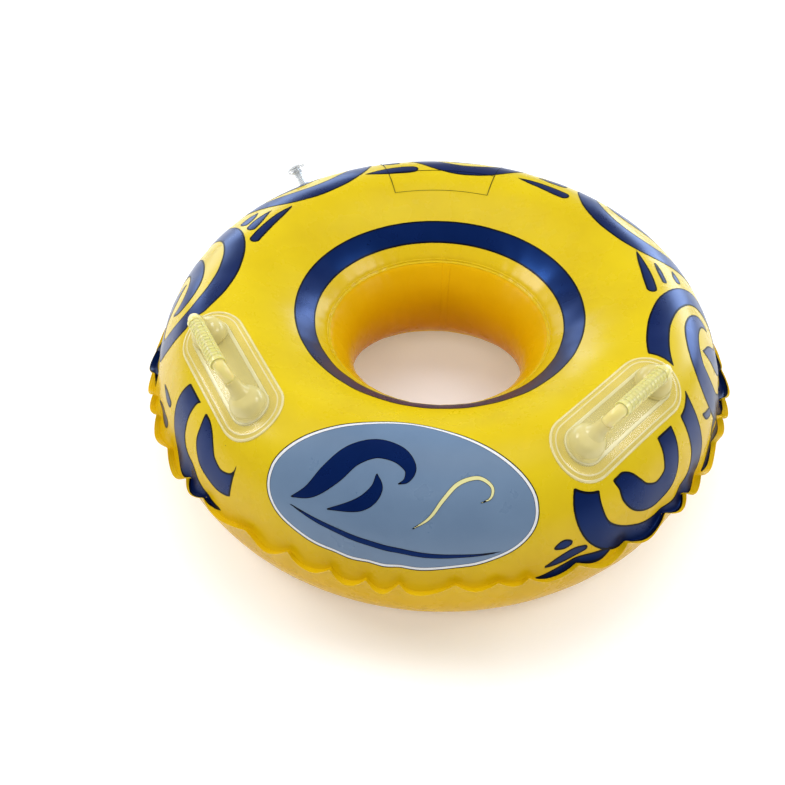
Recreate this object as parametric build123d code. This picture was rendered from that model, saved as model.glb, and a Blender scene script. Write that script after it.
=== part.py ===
"""Inflatable PVC ring tube with two carry handles and an air valve.

Millimetres, +Z up. The ring lies flat with its axis on Z, and the origin is on the floor under its centre.
-Y is the front of the ring, so the handles stand to the right and left of it and the valve is at the back.
"""

import os
from math import asin, cos, degrees, hypot, radians, sin

from build123d import *

# Ring section: tangent arcs from the outer seam over the top to the wall of the hole, mirrored below.
OUTER_RADIUS = 422.0
ARC_RADII = (175.0, 102.0, 256.0)
ARC_ENDS = (38.0, 107.0, 143.0)  # direction of the surface normal where each arc ends, degrees from level
FILM = 1.0
FLOOR_HALF_ANGLE = 6.8  # the ring settles flat on the floor over this angle to each side

# Size of the surface patch that welded-on pieces are shaped from.
CROWN_NORMALS = (16.0, 105.0)
CROWN_SPREAD = 28.0
TRIM_DEPTH = 30.0

# Welded seams.
OUTER_SEAM_RADIUS = 439.0
INNER_SEAM_ANGLE = 137.0
WELD_WIDTH = 7.0
WELD_RAISE = 0.6
LAP_AZIMUTH = 92.5
LAP_WIDTH = 10.0

# Handles. The right one is described, and the left one is its mirror image.
HANDLE_AZIMUTH = -38.3
HANDLE_NORMAL = 72.0
HANDLE_TURN = 4.0
SOCKET_SPACING = 149.0
PATCH_END_RADIUS = 47.5
PATCH_THICKNESS = 1.2
PATCH_RIM_WIDTH = 2.5
PATCH_RIM_RAISE = 0.8
PLATE_END_RADIUS = 28.5
PLATE_THICKNESS = 2.0
SOCKET_RADIUS = 25.0
SOCKET_CENTRE_RISE = 2.0
SOCKET_FOOT_RADIUS = 26.0
SOCKET_FOOT_HEIGHT = 2.6
SOCKET_ROOT = 8.0  # how far it is built down before it is trimmed to the plate
SOCKET_SINK = 12.0
SOCKET_MOUTH_RADIUS = 11.3
BALL_RADIUS = 12.0
BALL_GAP = 0.4
BAR_RADIUS = 8.5
GRIP_HEIGHT = 64.0
LEG_ANGLE = 68.0
ELBOW_RADIUS = 14.0
GRIP_LEAN = 8.0
SLEEVE_HALF_LENGTH = 45.0
SLEEVE_RADIUS = 10.0
RING_RADIUS = 11.0
RING_PITCH = 6.4
RING_WIDTH = 3.2
RING_COUNT = 12
COLLAR_WIDTH = 5.0
GROOVE_COUNT = 8
GROOVE_WIDTH = 1.4
GROOVE_DEPTH = 1.6

# Air valve.
VALVE_AZIMUTH = 132.5
VALVE_NORMAL = 36.0
FLANGE_RADIUS = 17.0
FLANGE_THICKNESS = 1.6
BOSS_RADIUS = 10.0
BOSS_HEIGHT = 4.0
FILM_HOLE_RADIUS = 10.5
STEM_RADIUS = 6.2
STEM_BORE = 4.2
STEM_FIT = 0.06
STEM_TOP = 34.0
STEM_BOTTOM = -9.0
STEM_LIP_RADIUS = 7.2
STEM_LIP_HEIGHT = 3.0
STOP_RADIUS = 8.2
STOP_TOP = -0.8
STOP_HEIGHT = 3.0
STRAP_RING_RADIUS = 8.4
STRAP_RING_Z = 26.0
STRAP_RING_HEIGHT = 3.0
STRAP_WIDTH = 4.0
STRAP_THICKNESS = 1.4
STRAP_STANDOFF = 1.2
STRAP_BEND = 3.0
PLUG_RADIUS = 10.5
PLUG_THICKNESS = 3.4
PLUG_GAP = 0.1
PLUG_NOSE_RADIUS = 3.9
PLUG_NOSE_END_RADIUS = 3.1
PLUG_NOSE_LENGTH = 3.6
PLUG_TAB_REACH = 18.0
PLUG_TAB_WIDTH = 9.0
PLUG_TAB_THICKNESS = 2.0
PLUG_EDGE_RADIUS = 1.0
PLUG_HINGE_X = 13.2
PLUG_LUG_GAP = 0.2
PLUG_LUG_WIDTH = 5.0
PLUG_LUG_THICKNESS = 1.6
FLAP_RADIUS = 5.9
FLAP_THICKNESS = 1.0
FLAP_GAP = 0.2


def section_arcs():
    """Centre radius, centre height, radius, start and end angle of each arc round the whole section."""
    upper = []
    centre_r, centre_z, start = OUTER_RADIUS - ARC_RADII[0], 0.0, 0.0
    for index, (radius, end) in enumerate(zip(ARC_RADII, ARC_ENDS)):
        upper.append((centre_r, centre_z, radius, start, end))
        if index + 1 < len(ARC_RADII):
            next_radius = ARC_RADII[index + 1]
        else:
            next_radius = radius + centre_z / sin(radians(end))
        centre_r += (radius - next_radius) * cos(radians(end))
        centre_z += (radius - next_radius) * sin(radians(end))
        start = end
    wall = (centre_r, 0.0, next_radius, start, 360 - start)
    lower = [(r, -z, radius, 360 - end, 360 - begin) for r, z, radius, begin, end in reversed(upper)]
    return upper + [wall] + lower


ARCS = section_arcs()
CROWN_R, CROWN_Z, CROWN_RADIUS = ARCS[1][:3]
MID_HEIGHT = CROWN_Z + CROWN_RADIUS * cos(radians(FLOOR_HALF_ANGLE))


def at_angle(arc, offset, angle):
    """A point of the section, on one arc moved out along its normal."""
    centre_r, centre_z, radius = arc[:3]
    out, up = cos(radians(angle)), sin(radians(angle))
    return Vector(centre_r + (radius + offset) * out, 0, MID_HEIGHT + centre_z + (radius + offset) * up)


def skin(offset, start, end):
    """Edges along the section from one normal angle to another, with the flat that rests on the floor."""
    edges = []
    flat = (270 - FLOOR_HALF_ANGLE, 270 + FLOOR_HALF_ANGLE)
    for arc in ARCS:
        stops = [arc[3], arc[4]]
        if arc[3] < 270 < arc[4]:
            stops = [arc[3], *flat, arc[4]]
        for low, high in zip(stops, stops[1:]):
            low, high = max(low, start), min(high, end)
            if high - low < 1e-6:
                continue
            first, last = at_angle(arc, offset, low), at_angle(arc, offset, high)
            if (low, high) == flat:
                edges.append(Line(first, last))
            else:
                edges.append(ThreePointArc(first, at_angle(arc, offset, (low + high) / 2), last))
    return edges


def band(inner, outer, start, end, azimuth=0.0, sweep=360.0):
    """A layer of film between two offsets from the ring's surface, swept about Z."""
    outside, inside = skin(outer, start, end), skin(inner, start, end)
    ends = [Line(outside[-1] @ 1, inside[-1] @ 1), Line(inside[0] @ 0, outside[0] @ 0)]
    profile = Face(Wire(outside + inside + ends))
    return Rot(0, 0, azimuth) * revolve(profile, Axis.Z, sweep)


def surface_plane(azimuth, normal, turn=0.0):
    """Plane on the top half of the ring: Z out of the film, X along the ring towards +azimuth."""
    round_z = Rot(0, 0, azimuth)
    arc = next(arc for arc in ARCS if normal <= arc[4])
    origin = at_angle(arc, 0, normal)
    outward = Vector(cos(radians(normal)), 0, sin(radians(normal)))
    along = Vector(0, 1, 0).rotate(Axis((0, 0, 0), tuple(outward)), turn)
    plane = Plane(origin, x_dir=along, z_dir=outward)
    return Plane(round_z * plane.location)


def height_of_layer(plane, x, offset):
    """Where the line through (x, 0) along the plane's Z meets the layer's surface, as a local height."""
    height = 0.0
    for _ in range(12):
        point = plane.from_local_coords(Vector(x, 0, height))
        distance = hypot(hypot(point.X, point.Y) - CROWN_R, point.Z - MID_HEIGHT - CROWN_Z)
        height += CROWN_RADIUS + offset - distance
    return height


def crown_layer(inner, outer, azimuth):
    """A piece of layer on the top half round one azimuth, larger than anything welded there."""
    return band(inner, outer, *CROWN_NORMALS, azimuth - CROWN_SPREAD, 2 * CROWN_SPREAD)


def crown_solid(offset, azimuth):
    """The crown filled in below one offset, for trimming what sits on it."""
    return crown_layer(-TRIM_DEPTH, offset, azimuth)


# Welded film body -----------------------------------------------------------------------------------


def outer_seam_half_angle():
    return degrees(asin(FILM / ARCS[0][2]))


def make_outer_seam():
    """The flange where both panels' edges are welded face to face."""
    half = outer_seam_half_angle()
    outer, inner = (at_angle(ARCS[0], offset, half) for offset in (0, -FILM))
    rise = [Vector(inner.X, 0, inner.Z), Vector(outer.X, 0, outer.Z), Vector(OUTER_SEAM_RADIUS, 0, outer.Z)]
    fall = [Vector(p.X, 0, 2 * MID_HEIGHT - p.Z) for p in reversed(rise)]
    return revolve(Face(Wire.make_polygon(rise + fall, close=True)), Axis.Z)


def make_inner_weld(centre_angle):
    half = degrees(WELD_WIDTH / 2 / ARCS[2][2])
    return band(0, WELD_RAISE, centre_angle - half, centre_angle + half)


def make_lap_seam():
    """Where the ends of the wall strip lap, between the two inner welds."""
    weld = degrees(WELD_WIDTH / 2 / ARCS[2][2])
    sweep = degrees(LAP_WIDTH / at_angle(ARCS[3], 0, 180).X)
    start = INNER_SEAM_ANGLE + weld
    return band(0, WELD_RAISE, start, 360 - start, LAP_AZIMUTH - sweep / 2, sweep)


# Handle ---------------------------------------------------------------------------------------------


def stadium(plane, end_radius):
    """A tall obround block round both sockets, square to the handle's plane."""
    outline = SlotCenterToCenter(SOCKET_SPACING, 2 * end_radius)
    return plane.location * extrude(outline, 40, both=True)


def handle_layer(plane, inner, outer, end_radius, hole_radius=None):
    piece = crown_layer(inner, outer, HANDLE_AZIMUTH) & stadium(plane, end_radius)
    if hole_radius:
        piece = piece - stadium(plane, hole_radius)
    return piece


def make_patch(plane):
    """The film patch under the handle, with a raised rim."""
    sheet = handle_layer(plane, 0, PATCH_THICKNESS, PATCH_END_RADIUS)
    top = PATCH_THICKNESS + PATCH_RIM_RAISE
    rim = handle_layer(plane, PATCH_THICKNESS, top, PATCH_END_RADIUS, PATCH_END_RADIUS - PATCH_RIM_WIDTH)
    return sheet + rim


def ball_centre(plane, side):
    seat = height_of_layer(plane, side * SOCKET_SPACING / 2, PATCH_THICKNESS + PLATE_THICKNESS)
    return Vector(side * SOCKET_SPACING / 2, 0, seat + SOCKET_SINK + BALL_GAP)


def lean_axis(plane):
    """Line through both ball centres, about which the grip rocks."""
    rear = plane.from_local_coords(ball_centre(plane, 1))
    front = plane.from_local_coords(ball_centre(plane, -1))
    return Axis(front, rear - front)


def leg_direction(side):
    return Vector(-side * cos(radians(LEG_ANGLE)), 0, sin(radians(LEG_ANGLE)))


def make_socket(plane, side):
    """A dome over one ball end, open below for the ball and with a round mouth for the bar."""
    ball = ball_centre(plane, side)
    seat = Vector(ball.X, 0, ball.Z - SOCKET_SINK - BALL_GAP)
    dome = Pos(*(seat + Vector(0, 0, SOCKET_CENTRE_RISE))) * Sphere(SOCKET_RADIUS)
    root = Pos(*(seat - Vector(0, 0, SOCKET_ROOT)))
    upward, downward = (Align.CENTER, Align.CENTER, Align.MIN), (Align.CENTER, Align.CENTER, Align.MAX)
    foot = root * Cylinder(SOCKET_FOOT_RADIUS, SOCKET_FOOT_HEIGHT + SOCKET_ROOT, align=upward)
    below = root * Cylinder(2 * SOCKET_RADIUS, 2 * SOCKET_RADIUS, align=downward)
    cavity_radius = BALL_RADIUS + BALL_GAP
    cavity = Pos(*ball) * Sphere(cavity_radius)
    drop = Pos(*ball) * Cylinder(cavity_radius, 2 * SOCKET_RADIUS, align=downward)
    socket = plane.location * (dome - below + foot - cavity - drop)
    mouth = extrude(Plane(ball, z_dir=leg_direction(side)) * Circle(SOCKET_MOUTH_RADIUS), 2 * SOCKET_RADIUS)
    mouth = (plane.location * mouth).rotate(lean_axis(plane), GRIP_LEAN)
    seat_layer = crown_solid(PATCH_THICKNESS + PLATE_THICKNESS, HANDLE_AZIMUTH)
    return socket - mouth - seat_layer


def make_bar(plane):
    """The smooth bent bar with a ball on each end."""
    front, rear = ball_centre(plane, -1), ball_centre(plane, 1)
    inset = (GRIP_HEIGHT - front.Z) / sin(radians(LEG_ANGLE)) * cos(radians(LEG_ANGLE))
    corners = [front, Vector(front.X + inset, 0, GRIP_HEIGHT), Vector(rear.X - inset, 0, GRIP_HEIGHT), rear]
    path = FilletPolyline(*corners, radius=ELBOW_RADIUS)
    bar = sweep(Plane(front, z_dir=path % 0) * Circle(BAR_RADIUS), path)
    for centre in (front, rear):
        bar = bar + Pos(*centre) * Sphere(BALL_RADIUS)
    return (plane.location * bar).rotate(lean_axis(plane), GRIP_LEAN)


def make_sleeve(plane):
    """The ribbed sleeve round the straight middle of the bar."""
    half = SLEEVE_HALF_LENGTH
    first_ring = -(RING_COUNT - 1) / 2 * RING_PITCH
    outline = [(-half, BAR_RADIUS), (-half, RING_RADIUS), (COLLAR_WIDTH - half, RING_RADIUS)]
    outline.append((COLLAR_WIDTH - half, SLEEVE_RADIUS))
    for index in range(RING_COUNT):
        x = first_ring + index * RING_PITCH
        outline += [(x - RING_WIDTH / 2, SLEEVE_RADIUS), (x - RING_WIDTH / 4, RING_RADIUS)]
        outline += [(x + RING_WIDTH / 4, RING_RADIUS), (x + RING_WIDTH / 2, SLEEVE_RADIUS)]
    outline += [(half - COLLAR_WIDTH, SLEEVE_RADIUS), (half - COLLAR_WIDTH, RING_RADIUS)]
    outline += [(half, RING_RADIUS), (half, BAR_RADIUS)]
    wire = Wire.make_polygon([Vector(x, 0, r) for x, r in outline], close=True)
    sleeve = revolve(Face(wire), Axis.X)
    groove = Pos(0, 0, RING_RADIUS) * Box(2 * (half - COLLAR_WIDTH), GROOVE_WIDTH, 2 * GROOVE_DEPTH)
    for index in range(GROOVE_COUNT):
        sleeve = sleeve - Rot(360 / GROOVE_COUNT * index, 0, 0) * groove
    sleeve = plane.location * (Pos(0, 0, GRIP_HEIGHT) * sleeve)
    return sleeve.rotate(lean_axis(plane), GRIP_LEAN)


def handle_pieces():
    plane = surface_plane(HANDLE_AZIMUTH, HANDLE_NORMAL, HANDLE_TURN)
    plate_top = PATCH_THICKNESS + PLATE_THICKNESS
    return {
        "handle_patch": make_patch(plane),
        "handle_base_plate": handle_layer(plane, PATCH_THICKNESS, plate_top, PLATE_END_RADIUS),
        "front_socket": make_socket(plane, -1),
        "rear_socket": make_socket(plane, 1),
        "grip_bar": make_bar(plane),
        "grip_sleeve": make_sleeve(plane),
    }


# Valve, built upright on its own Z ------------------------------------------------------------------


def tube(outer, inner, bottom, top):
    height = top - bottom
    align = (Align.CENTER, Align.CENTER, Align.MIN)
    return Pos(0, 0, bottom) * (Cylinder(outer, height, align=align) - Cylinder(inner, height, align=align))


def make_flange(plane):
    """The disc welded on the film and the boss that guides the stem."""
    bore = STEM_RADIUS + STEM_FIT
    around = plane.location * tube(FLANGE_RADIUS, bore, -FLANGE_RADIUS, FLANGE_RADIUS)
    disc = crown_layer(0, FLANGE_THICKNESS, VALVE_AZIMUTH) & around
    boss = plane.location * tube(BOSS_RADIUS, bore, -BOSS_HEIGHT, BOSS_HEIGHT) - crown_solid(0, VALVE_AZIMUTH)
    return disc + boss


def make_stem():
    """The air tube, with its lip under the plug and its stop under the flange."""
    stem = tube(STEM_RADIUS, STEM_BORE, STEM_BOTTOM, STEM_TOP)
    stem += tube(STEM_LIP_RADIUS, STEM_BORE, STEM_TOP - STEM_LIP_HEIGHT, STEM_TOP)
    stem += tube(STOP_RADIUS, STEM_BORE, STOP_TOP - STOP_HEIGHT, STOP_TOP)
    return stem


def make_strap():
    """A ring round the stem with the short strap that carries the plug's hinge."""
    top = STRAP_RING_Z + STRAP_RING_HEIGHT
    ring = tube(STRAP_RING_RADIUS, STEM_RADIUS, STRAP_RING_Z, top)
    middle = STRAP_RING_Z + STRAP_RING_HEIGHT / 2
    outside = PLUG_HINGE_X + STRAP_STANDOFF
    route = [(STRAP_RING_RADIUS - 1, middle), (outside, middle + 1), (outside, STEM_TOP)]
    path = FilletPolyline(*[Vector(x, 0, z) for x, z in route], radius=STRAP_BEND)
    section = Plane(path @ 0, x_dir=(0, 1, 0), z_dir=path % 0) * Rectangle(STRAP_WIDTH, STRAP_THICKNESS)
    return ring + sweep(section, path)


def make_plug():
    """The cap that plugs the stem, with a pull tab and the lug of its hinge."""
    bottom = STEM_TOP + PLUG_GAP
    align = (Align.CENTER, Align.CENTER, Align.MIN)
    cap = Cylinder(PLUG_RADIUS, PLUG_THICKNESS, align=align)
    cap = fillet(cap.edges().filter_by(GeomType.CIRCLE), PLUG_EDGE_RADIUS)
    reach = PLUG_TAB_REACH - PLUG_TAB_WIDTH / 2
    tab_bottom = (PLUG_THICKNESS - PLUG_TAB_THICKNESS) / 2
    tab = extrude(SlotCenterToCenter(reach, PLUG_TAB_WIDTH), PLUG_TAB_THICKNESS)
    tab = Pos(-reach / 2, 0, tab_bottom) * tab
    lug_length = PLUG_HINGE_X - PLUG_LUG_GAP
    lug = Pos(lug_length / 2, 0, 0) * Box(lug_length, PLUG_LUG_WIDTH, PLUG_LUG_THICKNESS, align=align)
    nose_align = (Align.CENTER, Align.CENTER, Align.MAX)
    nose = Cone(PLUG_NOSE_END_RADIUS, PLUG_NOSE_RADIUS, PLUG_NOSE_LENGTH, align=nose_align)
    return Pos(0, 0, bottom) * (cap + tab + lug + nose)


def make_flap():
    """The non-return flap under the stem."""
    align = (Align.CENTER, Align.CENTER, Align.MAX)
    return Pos(0, 0, STEM_BOTTOM - FLAP_GAP) * Cylinder(FLAP_RADIUS, FLAP_THICKNESS, align=align)


# Assembly -------------------------------------------------------------------------------------------


def build():
    valve = surface_plane(VALVE_AZIMUTH, VALVE_NORMAL)
    half = outer_seam_half_angle()
    film_hole = valve.location * Cylinder(FILM_HOLE_RADIUS, 30)
    pieces = {
        "top_panel": band(-FILM, 0, half, INNER_SEAM_ANGLE) - film_hole,
        "bottom_panel": band(-FILM, 0, 360 - INNER_SEAM_ANGLE, 360 - half),
        "inner_wall_strip": band(-FILM, 0, INNER_SEAM_ANGLE, 360 - INNER_SEAM_ANGLE),
        "outer_weld_seam": make_outer_seam(),
        "upper_inner_weld_seam": make_inner_weld(INNER_SEAM_ANGLE),
        "lower_inner_weld_seam": make_inner_weld(360 - INNER_SEAM_ANGLE),
        "wall_lap_seam": make_lap_seam(),
        "valve_flange": make_flange(valve),
        "valve_stem": valve.location * make_stem(),
        "valve_strap": valve.location * make_strap(),
        "valve_plug": valve.location * make_plug(),
        "valve_check_flap": valve.location * make_flap(),
    }
    for name, piece in handle_pieces().items():
        pieces["right_" + name] = piece
        pieces["left_" + name] = mirror(piece, Plane.YZ)
    return pieces


os.makedirs("parts", exist_ok=True)
for node, shape in build().items():
    export_step(shape, f"parts/{node}.step")
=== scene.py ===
"""Looks of the inflatable ring tube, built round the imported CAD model.

Metres, +Z up, -Y in front. A place on the film is given by its azimuth and by its distance along
the section from the outer seam, over the top, down the wall of the hole and back along the underside.
"""

from math import cos, pi, radians, sin, tan

import bpy
import numpy as np
from mathutils import Matrix, Vector


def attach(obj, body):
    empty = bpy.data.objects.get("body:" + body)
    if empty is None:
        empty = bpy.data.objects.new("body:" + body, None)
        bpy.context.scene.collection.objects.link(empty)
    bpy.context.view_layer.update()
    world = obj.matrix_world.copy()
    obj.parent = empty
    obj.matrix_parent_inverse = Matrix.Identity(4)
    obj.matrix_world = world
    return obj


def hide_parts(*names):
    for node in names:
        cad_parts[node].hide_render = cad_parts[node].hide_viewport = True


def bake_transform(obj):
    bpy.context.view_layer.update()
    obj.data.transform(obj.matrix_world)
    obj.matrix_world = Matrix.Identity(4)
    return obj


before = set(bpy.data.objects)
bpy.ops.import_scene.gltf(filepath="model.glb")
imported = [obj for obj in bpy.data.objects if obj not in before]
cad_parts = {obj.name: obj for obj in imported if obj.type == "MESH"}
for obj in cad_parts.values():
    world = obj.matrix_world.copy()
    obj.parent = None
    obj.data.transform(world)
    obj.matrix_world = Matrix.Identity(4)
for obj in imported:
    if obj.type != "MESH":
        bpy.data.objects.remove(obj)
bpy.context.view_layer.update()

# Ring section, as in the CAD model.
OUTER_RADIUS = 0.422
ARC_RADII = (0.175, 0.102, 0.256)
ARC_ENDS = (38.0, 107.0, 143.0)
FLOOR_HALF_ANGLE = 6.8
UPPER_INNER_SEAM = 0.3712
FILM = 0.0009
# Radii at which turns round the tube are counted as lengths.
MEAN_RADIUS = 0.36
WALL_RADIUS = 0.1285

BODY = "tube_body"


def section_arcs():
    """Centre radius, centre height, radius, start and end angle of each arc, all round the section."""
    arcs = []
    centre_r, centre_z, start = OUTER_RADIUS - ARC_RADII[0], 0.0, 0.0
    ends = [radians(end) for end in ARC_ENDS]
    for index, (radius, end) in enumerate(zip(ARC_RADII, ends)):
        arcs.append((centre_r, centre_z, radius, start, end))
        last = index + 1 == len(ARC_RADII)
        next_radius = radius + centre_z / sin(end) if last else ARC_RADII[index + 1]
        centre_r += (radius - next_radius) * cos(end)
        centre_z += (radius - next_radius) * sin(end)
        start = end
    arcs.append((centre_r, 0.0, next_radius, start, 2 * pi - start))
    arcs += [(r, -z, radius, 2 * pi - b, 2 * pi - a) for r, z, radius, a, b in reversed(arcs[:3])]
    return np.array(arcs)


ARCS = section_arcs()
ARC_STARTS = np.concatenate([[0.0], np.cumsum(ARCS[:, 2] * (ARCS[:, 4] - ARCS[:, 3]))])
TOTAL = ARC_STARTS[-1]
LOWER_INNER_SEAM = TOTAL - UPPER_INNER_SEAM
CROWN_R, CROWN_Z, CROWN_RADIUS = (float(v) for v in ARCS[1][:3])
MID_HEIGHT = CROWN_Z + CROWN_RADIUS * cos(radians(FLOOR_HALF_ANGLE))


def section(s):
    """Radius, height over the middle and direction of the normal, at distances along the section."""
    index = np.clip(np.searchsorted(ARC_STARTS, s, side="right") - 1, 0, len(ARCS) - 1)
    arc = ARCS[index]
    angle = arc[..., 3] + (s - ARC_STARTS[index]) / arc[..., 2]
    return arc[..., 0] + arc[..., 2] * np.cos(angle), arc[..., 1] + arc[..., 2] * np.sin(angle), angle


# Handles: the plane that they are laid out in, as in the CAD model.
HANDLE_AZIMUTH = radians(-38.3)
HANDLE_NORMAL = radians(72.0)
HANDLE_TURN = radians(4.0)
SOCKET_REACH = 0.0745
PATCH_RADIUS = 0.0475
PLATE_TOP = 0.0032


def handle_plane():
    normal = Vector((cos(HANDLE_NORMAL), 0, sin(HANDLE_NORMAL)))
    along = Matrix.Rotation(HANDLE_TURN, 3, normal) @ Vector((0, 1, 0))
    inward = normal.cross(along)
    origin = Vector((CROWN_R, 0, MID_HEIGHT + CROWN_Z)) + CROWN_RADIUS * normal
    turn = Matrix.Rotation(HANDLE_AZIMUTH, 3, "Z")
    return [np.array(turn @ v) for v in (origin, along, inward, normal)]


HANDLE = handle_plane()
CROWN_STEPS = 14


def on_crown(x, y, offset):
    """Points over (x, y) of the handle's plane, at an offset from the crown."""
    origin, along, inward, normal = HANDLE
    x, y, offset = np.broadcast_arrays(x, y, offset)
    base = origin + x[..., None] * along + y[..., None] * inward
    height = np.zeros(x.shape)
    for _ in range(CROWN_STEPS):
        p = base + height[..., None] * normal
        away = np.hypot(np.hypot(p[..., 0], p[..., 1]) - CROWN_R, p[..., 2] - MID_HEIGHT - CROWN_Z)
        height = height + CROWN_RADIUS + offset - away
    return base + height[..., None] * normal


# Film ---------------------------------------------------------------------------------------------

LAP_AZIMUTH = radians(92.5)
VALVE_AZIMUTH = radians(132.5)
VALVE_NORMAL = radians(36.0)
VALVE_HOLE = 0.0105
VALVE_DISTANCE = 0.110
HANDLE_DISTANCE = 0.1766

LOBES = 22.5
SEAM_BLEND = 0.022

# Puckers of the outer seam: how far out and up they stand, and how far in from the seam they fade.
CUSP_ROUNDING = 0.012
CUSP_POWER = 0.72
OUT_BASE, OUT_LOBE, OUT_FADE = 0.0025, 0.0050, 0.010
BULGE, BULGE_FADE = 0.0026, 0.030
LIFT_BASE, LIFT_LOBE, LIFT_SWAY, LIFT_FADE = 0.0035, 0.0085, 0.0022, 0.013

# Slow ripples of the taut film, and the pinched line beside each inner weld.
BROAD_RIPPLE = 0.00030
SMALL_RIPPLE = 0.00022
WELD_DIP, WELD_DIP_REACH = 0.0013, 0.0055
WELD_PINCH, WELD_PINCH_FADE = 0.0006, 0.013

# Flange of the outer seam.
FLANGE_HALF = 0.0008
FLANGE_EASE = 0.0012
FLANGE_TILT, FLANGE_TILT_LOBE, FLANGE_TILT_SWAY = radians(35), radians(27), radians(7)


def lobe_phase(az):
    """Puckers of the outer seam: about one every 60 mm, unevenly spaced."""
    phase = LOBES * az + 0.75 * np.sin(5 * az + 1.3) + 0.5 * np.sin(11 * az + 0.4)
    return phase + 0.35 * np.sin(17 * az + 2.2)


def calm(az, s):
    """0 under the handles' patches and the valve's flange, and 1 well away from them."""
    keep = np.ones(np.broadcast(az, s).shape)
    spots = [(side, HANDLE_DISTANCE, 0.115, 0.055) for side in (HANDLE_AZIMUTH, pi - HANDLE_AZIMUTH)]
    spots.append((VALVE_AZIMUTH, VALVE_DISTANCE, 0.02, 0.02))
    for spot_az, spot_s, reach, half in spots:
        turn = np.angle(np.exp(1j * (az - spot_az))) * MEAN_RADIUS
        away = np.maximum(np.abs(turn) / reach, np.abs(s - spot_s) / half)
        keep = keep * np.clip((away - 1) / 0.4, 0, 1)
    return keep


def film(az, s):
    """Points of the inflated film, puckered along its seams.

    Below 0 and past TOTAL, they run out over the flange.
    """
    az, s = np.broadcast_arrays(np.asarray(az, float), np.asarray(s, float))
    here = np.clip(s, 0, TOTAL)
    r, z, angle = section(here)
    seam = np.minimum(here, TOTAL - here)
    phase = lobe_phase(az)
    wave = np.sqrt(np.sin(phase) ** 2 + CUSP_ROUNDING)
    soften = 1 - np.exp(-seam / SEAM_BLEND)
    lobe = wave**CUSP_POWER * (1 - soften) + wave**2 * soften
    uneven = 1 + 0.30 * np.sin(7 * az + 0.8) + 0.22 * np.sin(13 * az + 2) + 0.16 * np.sin(31 * az)
    sway = np.sin(9 * az + 0.6)
    out = (OUT_BASE + OUT_LOBE * lobe * uneven) * np.exp(-seam / OUT_FADE)
    out += BULGE * (lobe - 0.5) * uneven * np.exp(-seam / BULGE_FADE)
    lift = LIFT_BASE - LIFT_LOBE * (lobe - 0.6) * uneven + LIFT_SWAY * sway
    lift = lift * np.exp(-seam / LIFT_FADE)
    ripple = BROAD_RIPPLE * np.sin(8 * az + 1.1 + np.sin(3 * az))
    ripple = ripple * np.sin(s / 0.031 + 2 * np.sin(4 * az + 0.4))
    small = SMALL_RIPPLE * np.sin(21 * az + 0.4 + s / 0.05)
    ripple += small * np.sin(s / 0.019 + 1.7 * np.sin(6 * az))
    ripple = ripple * calm(az, s) * np.clip(seam / 0.05, 0, 1)
    for centre in (UPPER_INNER_SEAM, LOWER_INNER_SEAM):
        near = np.abs(here - centre)
        pinch = 0.5 + 0.5 * np.sin(47 * az + 1.6 * np.sin(5 * az + 0.7) + 1.1 * np.sin(8 * az))
        ripple = ripple - WELD_DIP * np.exp(-((near / WELD_DIP_REACH) ** 2))
        ripple = ripple - WELD_PINCH * pinch * np.exp(-near / WELD_PINCH_FADE)
    r = r + out + ripple * np.cos(angle)
    z = z + lift + ripple * np.sin(angle)
    beyond = np.maximum(np.maximum(-s, s - TOTAL), 0)
    half_thick = np.where(s < 0, FLANGE_HALF, -FLANGE_HALF) * np.minimum(beyond / FLANGE_EASE, 1)
    tilt = FLANGE_TILT - FLANGE_TILT_LOBE * wave**0.7 + FLANGE_TILT_SWAY * sway
    width = 1 + 0.10 * np.sin(15 * az + 1.9)
    r = r + beyond * width * np.cos(tilt)
    z = z + beyond * width * np.sin(tilt) + half_thick
    return np.stack([r * np.cos(az), r * np.sin(az), np.maximum(z + MID_HEIGHT, 0)], -1)


def film_normal(az, s):
    step, turn = 4e-4, 1e-3
    across = film(az + turn, s) - film(az - turn, s)
    along = film(az, s + step) - film(az, s - step)
    normal = np.cross(across, along)
    return normal / np.linalg.norm(normal, axis=-1, keepdims=True)


def over_film(az, s, lift):
    return film(az, s) + film_normal(az, s) * np.asarray(lift)[..., None]


# Meshes -------------------------------------------------------------------------------------------


PANEL_COLUMNS = 640
SEAM_COLUMNS = 720
FLANGE_COLUMNS = 1080


def add_mesh(name, points, faces, materials, body=BODY, slots=None, sharp=35.0):
    mesh = bpy.data.meshes.new(name)
    mesh.from_pydata([tuple(p) for p in np.asarray(points).reshape(-1, 3)], [], faces)
    for material in materials:
        mesh.materials.append(material)
    if slots is not None:
        mesh.polygons.foreach_set("material_index", slots)
    mesh.shade_smooth()
    mesh.set_sharp_from_angle(angle=radians(sharp))
    mesh.validate()
    piece = bpy.data.objects.new(name, mesh)
    bpy.context.collection.objects.link(piece)
    if body:
        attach(piece, body)
    return piece


def grid_faces(rows, columns, wrap_rows=False):
    """Quads of a grid whose points are listed row by row, and whose columns close on themselves."""
    down = np.arange(rows if wrap_rows else rows - 1)
    i, j = (a.ravel() for a in np.meshgrid(down, np.arange(columns), indexing="ij"))
    i2, j2 = (i + 1) % rows, (j + 1) % columns
    corners = [i * columns + j, i * columns + j2, i2 * columns + j2, i2 * columns + j]
    return np.stack(corners, -1).tolist()


def ring_of(name, rows, materials, columns=SEAM_COLUMNS):
    """A closed ring round the tube. Each row is (distance along the section, height off the film)."""
    az = np.linspace(0, 2 * pi, columns, endpoint=False)
    s = np.array([row[0] for row in rows])[:, None]
    lift = np.array([row[1] for row in rows])[:, None]
    points = over_film(az[None, :], s, np.broadcast_to(lift, (len(rows), columns)))
    return add_mesh(name, points, grid_faces(len(rows), columns, wrap_rows=True), materials)


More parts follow.
